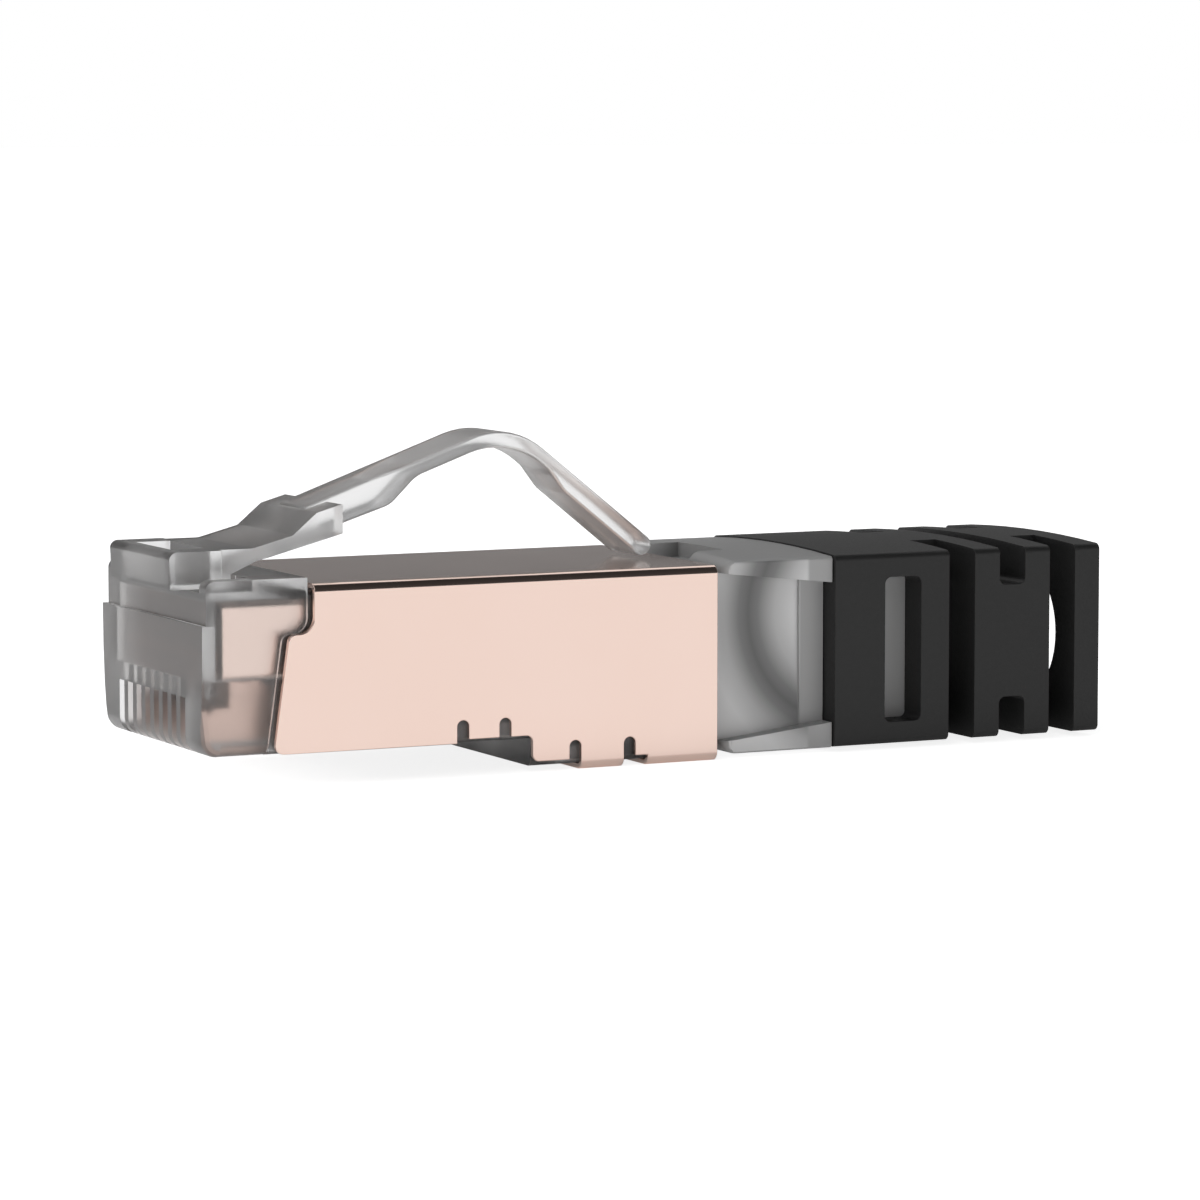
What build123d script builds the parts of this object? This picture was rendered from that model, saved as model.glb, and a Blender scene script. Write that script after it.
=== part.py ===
"""Shielded eight-way modular plug with an arched release latch and a slotted boot.

Stations run along the plug from the lower front face of the nose towards the cable.
Heights are counted from the underside of the nose. The finished plug stands with the middle
of its bounding box over the origin: +X towards the cable, +Y across, +Z up to the latch.
"""

import os
from math import atan2, cos, radians, sin, tan

from build123d import *

# Housing: nose, cable end and walls
plug_width = 11.68
nose_height = 7.45
nose_step_height = 5.57
nose_step_back = 0.22
nose_front_wall = 0.85
nose_edge_radius = 0.45
nose_bottom_radius = 0.60
nose_top_radius = 0.36
recess_gap = 0.30
cable_end_drop = 1.20
cable_end_station = 15.25
cable_end_wall = 0.70
side_wall = 0.90
roof_wall = 0.35
trough_depth = 0.53
trough_rear = 2.46
nose_rim = 0.85
moulded_radius = 0.25
plastic_gap = 0.05
overcut = 1.0

# Contacts and the comb that holds them
contact_count = 8
contact_pitch = 1.02
contact_thickness = 0.30
contact_slot_width = 0.40
comb_height = 3.13
comb_front_height = 2.40
contact_front = 0.42
contact_rear = 3.70
contact_recess = 0.50
contact_tip_height = 3.80
contact_tip_width = 0.60
contact_shoulder = 0.45
contact_tip_setback = 0.75
comb_length = 6.20
comb_ramp = 2.40

# Wire guide over the comb
guide_front_gap = 0.35
guide_length = 4.90
guide_headroom = 0.10
wire_channel_width = 0.86
wire_channel_height = 1.20

# Folded shield
sheet = 0.25
shield_width = 11.80
shield_drop = 0.28
shield_bend = 0.40
shield_front_high = 5.07
shield_front_low = 3.20
shield_step_height = 5.07
shield_step_depth = 1.14
shield_step_radius = 0.70
shield_inner_radius = 0.35
shield_rear = 24.24
shield_flange = 3.6
relief_width = 0.55
relief_length = 4.0
side_relief_front = 11.95
side_relief_rear = 13.95
side_relief_top = 1.00
lip_relief_front = 17.30
lip_relief_rear = 19.93
lip_relief_top = -0.155
relief_edge = 0.17
lip_bottom = -0.98
rear_lip_length = 0.87
lip_corner = 0.30

# Latch: root block, catch and thin places
latch_half_width = 3.55
handle_half_width = 1.50
root_overhang = 0.60
root_rise = 1.15
root_pocket_depth = 1.67
root_pocket_front = 0.75
root_pocket_wall = 1.20
root_pocket_floor = 0.12
root_foot_station = 2.40
root_underside_radius = 1.60
root_hinge_station = 3.60
root_hinge_radius = 0.36
root_hinge_proud = 0.10
catch_station = 7.39
catch_height = 1.35
catch_lift = 0.37
catch_corner = 0.05
ramp_foot_back = 2.39
ramp_foot_down = 1.28
ramp_head_back = 1.26
ramp_head_down = 0.34
ramp_radius = 0.60
arm_underside_back = 3.25
arm_underside_rise = 0.11
arm_underside_radius = 0.80
handle_slope = tan(radians(19.85))
handle_start_back = 0.90
handle_start_down = 0.30
handle_run = 7.20
handle_thin = 0.75
handle_thick_run = 2.65
handle_thick_rise = 0.86
handle_thin_run = 4.47
handle_thin_rise = 2.14
handle_sag = 0.20
peak_back = 1.77
peak_rise = 0.84
peak_fall = 0.62
peak_underside_back = 0.20
peak_underside_fall = 0.50
tail_hinge_station = 17.45
tail_hinge_rise = 3.60
tail_hinge_radius = 0.28
tail_hinge_tilt = radians(35)
hinge_play = 0.05
tail_length = 6.90
tail_thickness = 0.92
tail_waist_start = 1.30
tail_waist_depth = 0.42
tail_waist_end = 2.30
tail_swell = 0.10
foot_lift = 0.16

# Strain-relief insert
insert_front = 24.70
insert_rear = 35.30
insert_half_width = 5.65
insert_bottom = -1.24
insert_proud = 0.13
insert_edge = 0.15
web_recess = 0.85
fork_half_width = 2.20
fork_depth = 1.75
prong_corner = 0.60
flange_front = 0.55
flange_rear = 1.15
dish_station = 31.00
dish_height = 5.00
dish_radius = 5.10
dish_depth = 0.90
dish_crease = 28.90
cheek_length = 3.40
cheek_gap = 0.20
cheek_parting = 1.40
tenon_wall = 0.50
cable_radius = 3.10

# Boot
boot_front = 30.15
boot_half_width = 5.85
boot_bottom = -1.21
boot_proud = 0.19
boot_crown = 0.20
boot_edge = 0.30
boot_block = 5.85
boot_rib = 1.30
boot_slot = 1.33
boot_bore_gap = 0.10
boot_bore_side_wall = 1.50
boot_bore_roof_wall = 0.735
boot_pocket_half_width = 4.37
boot_bridge_half_width = 2.27
boot_top_slot_depth = 1.66
boot_bottom_slot_depth = 1.81
window_front = 2.55
window_length = 1.85
window_bottom_wall = 0.99
window_top_wall = 1.08
window_corner = 0.30

# Worked out from the sizes above
trough_floor = nose_height - trough_depth
root_top = nose_height + root_rise
root_hinge_height = root_top + root_hinge_proud - root_hinge_radius
catch_underside = root_top + catch_lift
tail_hinge_height = root_top + tail_hinge_rise
shield_top = nose_height - shield_drop
insert_top = shield_top + insert_proud
boot_top = shield_top + boot_proud
cable_height = (boot_bottom + boot_top + boot_crown) / 2
boot_rear = boot_front + boot_block + 3 * (boot_slot + boot_rib)
lowest = -cable_end_drop - sheet
middle_station = (boot_rear - root_overhang) / 2
housing_half_width = shield_width / 2 - sheet - plastic_gap / 2
roof_top = shield_top - sheet - plastic_gap / 2
nose_rear = shield_front_high - recess_gap
housing_rear = shield_rear - plastic_gap
cavity_roof = roof_top - roof_wall
cavity_half_width = housing_half_width - side_wall
reach = plug_width

os.makedirs("parts", exist_ok=True)


def side(across=0.0):
    """Drawing plane seen from the near side: station to the right, height up."""
    return Plane((-middle_station, across, -lowest), x_dir=(1, 0, 0), z_dir=(0, -1, 0))


def section(station):
    """Drawing plane square to the plug's length: width to the right, height up."""
    return Plane((station - middle_station, 0, -lowest), x_dir=(0, 1, 0), z_dir=(1, 0, 0))


def plan(height):
    """Drawing plane seen from above: station to the right, width up."""
    return Plane((-middle_station, 0, height - lowest), x_dir=(1, 0, 0), z_dir=(0, 0, 1))


def closed(points, radii=0.0):
    """Face inside a closed outline, each corner rounded by its own radius."""
    with BuildLine() as outline:
        FilletPolyline(*points, radius=radii, close=True)
    make_face(outline.edges())


def front_edge(shift=0.0):
    """Front edge of the shield's side, from the roof down, moved forward by shift."""
    points = [
        (shield_front_high - shift, nose_height + overcut),
        (shield_front_high - shift, shield_step_height),
        (shield_front_high - shield_step_depth - shift, shield_step_height),
        (shield_front_low - shift, 0.0),
    ]
    return points


# Clear housing: nose with a stepped front, cable end with a dropped floor
with BuildPart() as plug_housing:
    with BuildSketch(side()):
        closed(
            [
                (0, 0),
                (0, nose_step_height),
                (nose_step_back, nose_step_height),
                (nose_step_back, nose_height),
                (nose_rear, nose_height),
                (nose_rear, 0),
            ],
            [nose_edge_radius, 0, 0, nose_top_radius, 0, 0],
        )
    extrude(amount=plug_width / 2, both=True)
    bottom_edges = plug_housing.edges().filter_by(Axis.X).group_by(Axis.Z)[0]
    fillet(bottom_edges, nose_bottom_radius)

    # The nose is cut back beside the shield's front edge so the sheet lies flush
    for mirrored in (-1, 1):
        with BuildSketch(side(mirrored * plug_width / 2)):
            edge = front_edge(recess_gap)
            closed(
                edge + [(nose_rear + overcut, -overcut), (nose_rear + overcut, nose_height + overcut)],
                [0, shield_step_radius, shield_inner_radius, 0, 0, 0],
            )
        extrude(amount=plug_width / 2 - housing_half_width, both=True, mode=Mode.SUBTRACT)

    # Long body inside the shield
    with BuildSketch(section(shield_front_low - recess_gap)):
        with Locations((0, roof_top / 2)):
            RectangleRounded(2 * housing_half_width, roof_top, moulded_radius)
    extrude(amount=housing_rear - shield_front_low + recess_gap)
    with BuildSketch(section(cable_end_station)):
        with Locations((0, (roof_top - cable_end_drop) / 2)):
            RectangleRounded(2 * housing_half_width, roof_top + cable_end_drop, moulded_radius)
    extrude(amount=housing_rear - cable_end_station)

    # Troughs on both sides of the latch root
    with BuildSketch(plan(trough_floor)):
        trough_width = plug_width / 2 - nose_rim - latch_half_width
        trough_middle = latch_half_width + trough_width / 2
        with Locations((0, trough_middle), (0, -trough_middle)):
            Rectangle(2 * trough_rear, trough_width)
    extrude(amount=nose_height, mode=Mode.SUBTRACT)

    # Latch root: a block on the nose that thins out to the first bending place
    with BuildSketch(side()):
        with BuildLine():
            Polyline(
                (root_hinge_station, root_hinge_height - root_hinge_radius),
                (root_hinge_station, root_hinge_height + root_hinge_radius),
                (root_hinge_station - root_hinge_radius, root_top),
                (-root_overhang, root_top),
                (-root_overhang, trough_floor),
                (root_foot_station, trough_floor),
                (root_foot_station, nose_height),
            )
            RadiusArc(
                (root_foot_station, nose_height),
                (root_hinge_station, root_hinge_height - root_hinge_radius),
                -root_underside_radius,
            )
        make_face()
    extrude(amount=latch_half_width, both=True)
    block_corners = plug_housing.edges().filter_by(Axis.Z).group_by(Axis.X)[0]
    block_top = plug_housing.faces().filter_by(Axis.Z).sort_by(Axis.Z)[-1]
    fillet(block_corners + block_top.edges().sort_by(Axis.X)[:-1], moulded_radius)
    with BuildSketch(side()):
        with Locations((root_hinge_station, root_hinge_height)):
            Circle(root_hinge_radius + hinge_play)
    extrude(amount=latch_half_width + overcut, both=True, mode=Mode.SUBTRACT)

    # Pocket in the root block, open at the top
    with BuildSketch(section(root_pocket_front - root_overhang)):
        pocket_low = trough_floor + root_pocket_floor
        pocket_high = root_top + overcut
        with Locations((0, (pocket_low + pocket_high) / 2)):
            RectangleRounded(
                2 * (latch_half_width - root_pocket_wall),
                pocket_high - pocket_low,
                moulded_radius / 2,
            )
    extrude(amount=root_pocket_depth - root_pocket_front, mode=Mode.SUBTRACT)

    # Cavity for the wire guide and the cable, open at the rear
    with BuildSketch(side()):
        closed(
            [
                (nose_front_wall, comb_height),
                (nose_front_wall, cavity_roof),
                (housing_rear + overcut, cavity_roof),
                (housing_rear + overcut, -cable_end_drop + cable_end_wall),
                (cable_end_station + cable_end_wall, -cable_end_drop + cable_end_wall),
                (cable_end_station + cable_end_wall, cable_end_wall),
                (comb_length + comb_ramp, cable_end_wall),
                (comb_length, comb_height),
            ]
        )
    extrude(amount=cavity_half_width, both=True, mode=Mode.SUBTRACT)

    # Comb: one slot a contact, open at the front, at the bottom and into the cavity
    for index in range(contact_count):
        slot_place = (index - (contact_count - 1) / 2) * contact_pitch
        with BuildSketch(side(slot_place)):
            closed(
                [
                    (-overcut, -overcut),
                    (-overcut, comb_front_height),
                    (nose_front_wall, comb_front_height),
                    (nose_front_wall, comb_height + overcut),
                    (contact_rear + plastic_gap, comb_height + overcut),
                    (contact_rear + plastic_gap, -overcut),
                ]
            )
        extrude(amount=contact_slot_width / 2, both=True, mode=Mode.SUBTRACT)
plug_housing.part.label = "plug_housing"
export_step(plug_housing.part, "parts/plug_housing.step")

# Latch arm: round hinge end, catch shoulders and the rising handle up to the peak
catch_top = catch_underside + catch_height
peak = (tail_hinge_station - peak_back, tail_hinge_height + peak_rise)
handle_start = (catch_station - handle_start_back, catch_top - handle_start_down)
handle_bend = (handle_start[0] + handle_run, handle_start[1] + handle_run * handle_slope)
hinge_top = (
    tail_hinge_station + tail_hinge_radius * sin(tail_hinge_tilt),
    tail_hinge_height + tail_hinge_radius * cos(tail_hinge_tilt),
)
hinge_bottom = (2 * tail_hinge_station - hinge_top[0], 2 * tail_hinge_height - hinge_top[1])
thin_start = (catch_station + handle_thin_run, catch_underside + handle_thin_rise)
thick_end = (catch_station + handle_thick_run, catch_underside + handle_thick_rise)
sag = ((thin_start[0] + thick_end[0]) / 2, (thin_start[1] + thick_end[1]) / 2 - handle_sag)
with BuildPart() as latch_arm:
    with BuildSketch(side()):
        with Locations((root_hinge_station, root_hinge_height)):
            Circle(root_hinge_radius)
        closed(
            [
                (root_hinge_station, root_hinge_height - root_hinge_radius),
                (root_hinge_station, root_hinge_height + root_hinge_radius),
                (catch_station - ramp_foot_back, catch_top - ramp_foot_down),
                (catch_station - ramp_head_back, catch_top - ramp_head_down),
                (catch_station, catch_top),
                (catch_station, catch_underside),
                (
                    catch_station - arm_underside_back,
                    root_hinge_height - root_hinge_radius + arm_underside_rise,
                ),
            ],
            [0, 0, ramp_radius, ramp_radius, catch_corner, catch_corner, arm_underside_radius],
        )
    extrude(amount=latch_half_width, both=True)
    with BuildSketch(side()):
        with BuildLine():
            Line(handle_start, handle_bend)
            Spline(handle_bend, peak, hinge_top, tangents=((1, handle_slope), (1, -peak_fall)))
            Line(hinge_top, hinge_bottom)
            Spline(
                hinge_bottom,
                (peak[0] - peak_underside_back, peak[1] - handle_thin),
                (handle_bend[0], handle_bend[1] - handle_thin),
                tangents=((-1, peak_underside_fall), (-1, -handle_slope)),
            )
            Line((handle_bend[0], handle_bend[1] - handle_thin), thin_start)
            Spline(
                thin_start,
                sag,
                thick_end,
                tangents=((-1, -handle_slope), (-1, -handle_slope)),
            )
            Polyline(
                thick_end,
                (catch_station, catch_underside),
                (catch_station - handle_start_back, catch_underside),
                handle_start,
            )
        make_face()
        with Locations((tail_hinge_station, tail_hinge_height)):
            Circle(tail_hinge_radius + hinge_play, mode=Mode.SUBTRACT)
    extrude(amount=handle_half_width, both=True)
latch_arm.part.label = "latch_arm"
export_step(latch_arm.part, "parts/latch_arm.step")

# Latch tail: round hinge end, falling arm and a rounded foot that slides on the shield
foot_height = shield_top + foot_lift
tail_drop = tail_hinge_height - foot_height - tail_thickness / 2
tail_angle = atan2(tail_drop, (tail_length**2 - tail_drop**2) ** 0.5)
along = (cos(tail_angle), -sin(tail_angle))
outward = (sin(tail_angle), cos(tail_angle))


def tail_point(distance, height):
    """Point on the tail, measured along it from its hinge and square to it."""
    return (
        tail_hinge_station + distance * along[0] + height * outward[0],
        tail_hinge_height + distance * along[1] + height * outward[1],
    )


with BuildPart() as latch_tail:
    with BuildSketch(side()):
        with Locations((tail_hinge_station, tail_hinge_height)):
            Circle(tail_hinge_radius)
        with BuildLine():
            Line(tail_point(0, -tail_hinge_radius), tail_point(0, tail_hinge_radius))
            Line(tail_point(0, tail_hinge_radius), tail_point(tail_length, tail_thickness / 2))
            Line(
                tail_point(tail_length, tail_thickness / 2),
                tail_point(tail_length, -tail_thickness / 2),
            )
            Line(
                tail_point(tail_length, -tail_thickness / 2),
                tail_point(tail_waist_end, -tail_thickness / 2 - tail_swell),
            )
            Spline(
                tail_point(tail_waist_end, -tail_thickness / 2 - tail_swell),
                tail_point(tail_waist_start, -tail_waist_depth),
                tail_point(0, -tail_hinge_radius),
                tangents=((-along[0], -along[1]), (-along[0], -along[1])),
            )
        make_face()
        with Locations(tail_point(tail_length, 0)):
            Circle(tail_thickness / 2)
    extrude(amount=handle_half_width, both=True)
latch_tail.part.label = "latch_tail"
export_step(latch_tail.part, "parts/latch_tail.step")

# Contact blades: two piercing tips above, one rounded nose at the front
contact_top = comb_height - 2 * plastic_gap
front_tip = contact_front + contact_tip_setback
rear_tip = contact_rear - contact_tip_setback
for index in range(contact_count):
    blade_place = (index - (contact_count - 1) / 2) * contact_pitch
    name = f"contact_{index + 1}"
    with BuildPart() as contact:
        with BuildSketch(side(blade_place)):
            closed(
                [
                    (contact_front, contact_recess),
                    (contact_front, comb_front_height - contact_shoulder),
                    (front_tip, comb_front_height - contact_shoulder),
                    (front_tip, contact_top),
                    (front_tip + contact_tip_width / 2, contact_tip_height),
                    (front_tip + contact_tip_width, contact_top),
                    (rear_tip, contact_top),
                    (rear_tip + contact_tip_width / 2, contact_tip_height),
                    (rear_tip + contact_tip_width, contact_top),
                    (contact_rear, contact_top - contact_thickness),
                    (contact_rear, contact_recess),
                ],
                [contact_shoulder] + [0] * 9 + [contact_shoulder],
            )
        extrude(amount=contact_thickness / 2, both=True)
    contact.part.label = name
    export_step(contact.part, f"parts/{name}.step")

# Wire guide: a bar with one round-topped channel over each blade
guide_front = nose_front_wall + guide_front_gap
guide_bottom = comb_height + plastic_gap
guide_top = cavity_roof - guide_headroom
with BuildPart() as load_bar:
    with BuildSketch(section(guide_front)):
        with Locations((0, (guide_bottom + guide_top) / 2)):
            guide_half_width = cavity_half_width - plastic_gap
            RectangleRounded(2 * guide_half_width, guide_top - guide_bottom, moulded_radius)
    extrude(amount=guide_length)
    with BuildSketch(section(guide_front)):
        with GridLocations(contact_pitch, 1, contact_count, 1):
            with Locations((0, guide_bottom)):
                SlotOverall(2 * wire_channel_height, wire_channel_width, rotation=90)
    extrude(amount=guide_length, mode=Mode.SUBTRACT)
load_bar.part.label = "load_bar"
export_step(load_bar.part, "parts/load_bar.step")

# Shield: one sheet folded over the roof and both sides, its rear tabs turned under
with BuildPart() as shield:
    with BuildSketch(section(0)):
        with Locations((0, (shield_top + lowest) / 2)):
            RectangleRounded(shield_width, shield_top - lowest, shield_bend)
            RectangleRounded(
                shield_width - 2 * sheet,
                shield_top - lowest - 2 * sheet,
                shield_bend - sheet,
                mode=Mode.SUBTRACT,
            )
        with Locations((0, lowest)):
            Rectangle(shield_width - 2 * shield_flange, 3 * sheet, mode=Mode.SUBTRACT)
    extrude(amount=shield_rear)
    with BuildSketch(side()):
        closed(
            front_edge()
            + [
                (side_relief_front, 0.0),
                (side_relief_front, relief_edge),
                (cable_end_station, relief_edge),
                (cable_end_station, lip_bottom),
                (lip_relief_front, lip_bottom),
                (lip_relief_front, lowest - overcut),
                (lip_relief_rear - relief_width / 2, lowest - overcut),
                (lip_relief_rear - relief_width / 2, lip_bottom),
                (lip_relief_rear + rear_lip_length, lip_bottom),
                (lip_relief_rear + rear_lip_length, lowest - overcut),
                (shield_rear + overcut, lowest - overcut),
                (shield_rear + overcut, nose_height + overcut),
            ],
            [0, shield_step_radius, shield_inner_radius, shield_bend, 0, 0] + [lip_corner] * 2 + [0] * 8,
        )
        side_reliefs = [(side_relief_front, side_relief_top), (side_relief_rear, side_relief_top)]
        lip_reliefs = [(lip_relief_front, lip_relief_top), (lip_relief_rear, lip_relief_top)]
        for station, top in side_reliefs + lip_reliefs:
            with Locations((station, top - relief_length / 2)):
                SlotOverall(relief_length, relief_width, rotation=90, mode=Mode.SUBTRACT)
    extrude(amount=reach, both=True, mode=Mode.INTERSECT)
shield.part.label = "shield"
export_step(shield.part, "parts/shield.step")


def crowned(half_width, bottom, top, crown, corner):
    """Section with a gently arched roof, drawn as width and height."""
    with BuildSketch() as face:
        with BuildLine():
            Polyline((-half_width, top), (-half_width, bottom), (half_width, bottom), (half_width, top))
            ThreePointArc((half_width, top), (0, top + crown), (-half_width, top))
        make_face()
        fillet(face.vertices(), corner)
    return face.sketch


# Strain-relief insert: flanged body, fork for the latch foot, cheeks inside the shield
insert_section = crowned(insert_half_width, insert_bottom, insert_top, boot_crown, insert_edge)
tenon_half_width = boot_pocket_half_width - plastic_gap
tenon_height = 2 * (cable_radius + tenon_wall)
cheek_half_width = cavity_half_width - cheek_gap
cheek_height = 2 * (cavity_roof - cheek_gap - cable_height)
cheek_middle = (cheek_half_width + cheek_parting) / 2
web_half_width = insert_half_width - web_recess
web_flare = (flange_rear - flange_front) / (boot_front - insert_front)
crease_flange = flange_front + web_flare * (dish_crease - insert_front)
dish_sphere = (dish_radius**2 + dish_depth**2) / (2 * dish_depth)

# A shallow dish in each web, clipped by the flanges and ending in a straight crease
with BuildPart() as dishes:
    with BuildSketch(side()):
        closed(
            [
                (insert_front, insert_bottom + flange_front),
                (insert_front, insert_top - flange_front),
                (dish_crease, insert_top - crease_flange),
                (dish_crease, insert_bottom + crease_flange),
            ]
        )
    extrude(amount=insert_half_width)
    dish_outside = web_half_width - dish_depth + dish_sphere
    with Locations((dish_station - middle_station, -dish_outside, dish_height - lowest)):
        Sphere(dish_sphere, mode=Mode.INTERSECT)
    mirror(about=Plane.XZ)

with BuildPart() as strain_relief_insert:
    with BuildSketch(section(insert_front)):
        add(insert_section)
    extrude(amount=boot_front - plastic_gap - insert_front)
    fillet(strain_relief_insert.edges().filter_by(Axis.Z).group_by(Axis.X)[0], prong_corner)
    for mirrored in (-1, 1):
        with BuildSketch(side(mirrored * insert_half_width)):
            closed(
                [
                    (insert_front, insert_bottom + flange_front),
                    (insert_front, insert_top - flange_front),
                    (boot_front, insert_top - flange_rear),
                    (boot_front, insert_bottom + flange_rear),
                ]
            )
        extrude(amount=web_recess, both=True, mode=Mode.SUBTRACT)
    add(dishes.part, mode=Mode.SUBTRACT)
    with BuildSketch(plan(insert_top / 2 + cable_height)):
        with Locations((insert_front, 0)):
            Rectangle(2 * fork_depth, 2 * fork_half_width)
    extrude(amount=insert_top, mode=Mode.SUBTRACT)
    # Tenon inside the boot and cheeks inside the housing
    with BuildSketch(section(boot_front - overcut)):
        with Locations((0, cable_height)):
            RectangleRounded(2 * tenon_half_width, tenon_height, moulded_radius)
    extrude(amount=insert_rear - boot_front + overcut)
    with BuildSketch(section(insert_front - cheek_length)):
        with Locations((cheek_middle, cable_height), (-cheek_middle, cable_height)):
            Rectangle(cheek_half_width - cheek_parting, cheek_height)
    extrude(amount=cheek_length + overcut)
    with BuildSketch(section(insert_front - cheek_length - overcut)):
        with Locations((0, cable_height)):
            Circle(cable_radius)
    extrude(amount=insert_rear - insert_front + cheek_length + 2 * overcut, mode=Mode.SUBTRACT)
strain_relief_insert.part.label = "strain_relief_insert"
export_step(strain_relief_insert.part, "parts/strain_relief_insert.step")

# Boot: a block and three ribs, joined in turn at top and bottom, then at the sides
boot_section = crowned(boot_half_width, boot_bottom, boot_top, boot_crown, boot_edge)
bore_half_width = boot_half_width - boot_bore_side_wall
bore_half_height = boot_top + boot_crown - boot_bore_roof_wall - cable_height
window_low = boot_bottom + window_bottom_wall
window_high = boot_top - window_top_wall
rib_fronts = [boot_front + boot_block + boot_slot + i * (boot_slot + boot_rib) for i in range(3)]
with BuildPart() as boot:
    with BuildSketch(section(boot_front)):
        add(boot_section)
    extrude(amount=boot_block)
    for rib_front in rib_fronts:
        with BuildSketch(section(rib_front)):
            add(boot_section)
        extrude(amount=boot_rib)
    for index, rib_front in enumerate(rib_fronts):
        with BuildSketch(section(rib_front - boot_slot)):
            add(boot_section)
            if index % 2 == 0:
                with Locations((boot_half_width, cable_height), (-boot_half_width, cable_height)):
                    Rectangle(
                        2 * (boot_half_width - boot_bridge_half_width),
                        2 * reach,
                        mode=Mode.SUBTRACT,
                    )
            else:
                slot_floor = boot_top - boot_top_slot_depth
                slot_roof = boot_bottom + boot_bottom_slot_depth
                with Locations((0, slot_floor + reach), (0, slot_roof - reach)):
                    Rectangle(2 * reach, 2 * reach, mode=Mode.SUBTRACT)
        extrude(amount=boot_slot)
    with BuildSketch(section(insert_rear)):
        with Locations((0, cable_height)):
            Ellipse(cable_radius + boot_bore_gap, cable_radius + boot_bore_gap - plastic_gap)
    with BuildSketch(section(boot_rear)):
        with Locations((0, cable_height)):
            Ellipse(bore_half_width, bore_half_height)
    loft(mode=Mode.SUBTRACT)
    with BuildSketch(section(boot_front)):
        with Locations((0, cable_height)):
            RectangleRounded(
                2 * boot_pocket_half_width,
                tenon_height + 2 * plastic_gap,
                moulded_radius,
            )
    extrude(amount=insert_rear - boot_front + plastic_gap, mode=Mode.SUBTRACT)
    with BuildSketch(side()):
        with Locations((boot_front + window_front + window_length / 2, (window_low + window_high) / 2)):
            RectangleRounded(window_length, window_high - window_low, window_corner)
    window = extrude(amount=reach, both=True, mode=Mode.PRIVATE)
    add(window, mode=Mode.SUBTRACT)
boot.part.label = "boot"
export_step(boot.part, "parts/boot.step")
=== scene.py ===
# %% [markdown]
# A shielded eight-way modular plug, seen from its nose
# The plug is a clear moulded nose with a springy latch, wrapped in a folded copper-coloured
# sheet, with a frosted insert and a soft black boot behind it. The frame that this scene
# loads already holds every piece at its real size. The scene gives them their finish, rounds
# their edges the way a mould or a press does, and fuses the hinged latch into the one
# strip of plastic that it really is, cut into pieces at its bending places.

# %% Load the frame
import math

import bmesh
import bpy
from mathutils import Matrix, Vector


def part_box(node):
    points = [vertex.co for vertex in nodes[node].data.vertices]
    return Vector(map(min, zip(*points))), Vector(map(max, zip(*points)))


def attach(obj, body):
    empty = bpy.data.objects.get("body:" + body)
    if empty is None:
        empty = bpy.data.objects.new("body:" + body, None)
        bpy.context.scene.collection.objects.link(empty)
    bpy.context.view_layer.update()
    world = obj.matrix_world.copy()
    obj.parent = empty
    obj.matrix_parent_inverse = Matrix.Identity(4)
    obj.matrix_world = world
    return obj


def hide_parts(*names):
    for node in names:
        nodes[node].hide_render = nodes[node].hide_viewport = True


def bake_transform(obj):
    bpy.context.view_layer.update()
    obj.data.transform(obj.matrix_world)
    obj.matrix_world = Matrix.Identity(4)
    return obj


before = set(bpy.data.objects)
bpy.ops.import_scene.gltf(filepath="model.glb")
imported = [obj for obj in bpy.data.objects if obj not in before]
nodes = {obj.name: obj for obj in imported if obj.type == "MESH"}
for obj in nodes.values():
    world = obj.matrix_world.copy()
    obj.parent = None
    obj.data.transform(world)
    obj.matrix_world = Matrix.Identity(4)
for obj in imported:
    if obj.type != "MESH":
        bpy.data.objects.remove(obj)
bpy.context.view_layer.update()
print("nodes in the frame:", len(nodes))

# %% [markdown]
# A way to say where things are
# A maker measures a plug along its length from the lower front face of the nose, and upward
# from the nose's underside. The frame has its origin under the middle of the plug, so one
# small function turns station, width and height in millimetres into a point in metres. The
# frame's ends give the stations. The nose stands clear of the table by the height of the
# dropped cable end and the sheet under it.

# %% Stations and heights in millimetres
MM = 0.001
latch_overhang = 0.60
nose_floor = 1.45
front_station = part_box("plug_housing")[0].x / MM + latch_overhang


def at(station, across, height):
    """Point in the frame, from millimetres measured on the plug."""
    return Vector((station + front_station, across, height + nose_floor)) * MM


print("front of the nose at", round(front_station, 3), "mm in the frame")

# %% [markdown]
# The camera stands where the photograph was taken
# The plug's long straight edges meet at vanishing points, which fix the view: about 26
# degrees off square to the side and 6 degrees down, with a long lens. The distance follows
# from the plug's real width. A camera only needs a place, a direction and a focal length.

# %% Camera
camera_turn = math.radians(26.35)
camera_tilt = math.radians(5.69)
camera_place = Vector((-97.919, -197.184, 28.620)) * MM
sight = Vector(
    (
        math.sin(camera_turn) * math.cos(camera_tilt),
        math.cos(camera_turn) * math.cos(camera_tilt),
        -math.sin(camera_tilt),
    )
)
camera_data = bpy.data.cameras.new("camera")
camera_data.lens = 148.65
camera_data.sensor_width = 36.0
camera_data.clip_start = 0.005
camera = bpy.data.objects.new("camera", camera_data)
camera.location = camera_place
camera.rotation_mode = "QUATERNION"
camera.rotation_quaternion = sight.to_track_quat("-Z", "Y")
bpy.context.scene.collection.objects.link(camera)
bpy.context.scene.camera = camera
print("camera at", [round(c / MM, 1) for c in camera_place], "mm")

# %% [markdown]
# Writing shader sums as sums
# A procedural finish is mostly arithmetic on masks and noise. Instead of placing Math nodes
# one by one, a small class wraps a socket and gives it the usual operators, so `1 - mask`
# adds the node by itself. Everything else, from noise to colour mixes, goes through one
# method that takes the node's type, its settings and what feeds its sockets.


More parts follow.
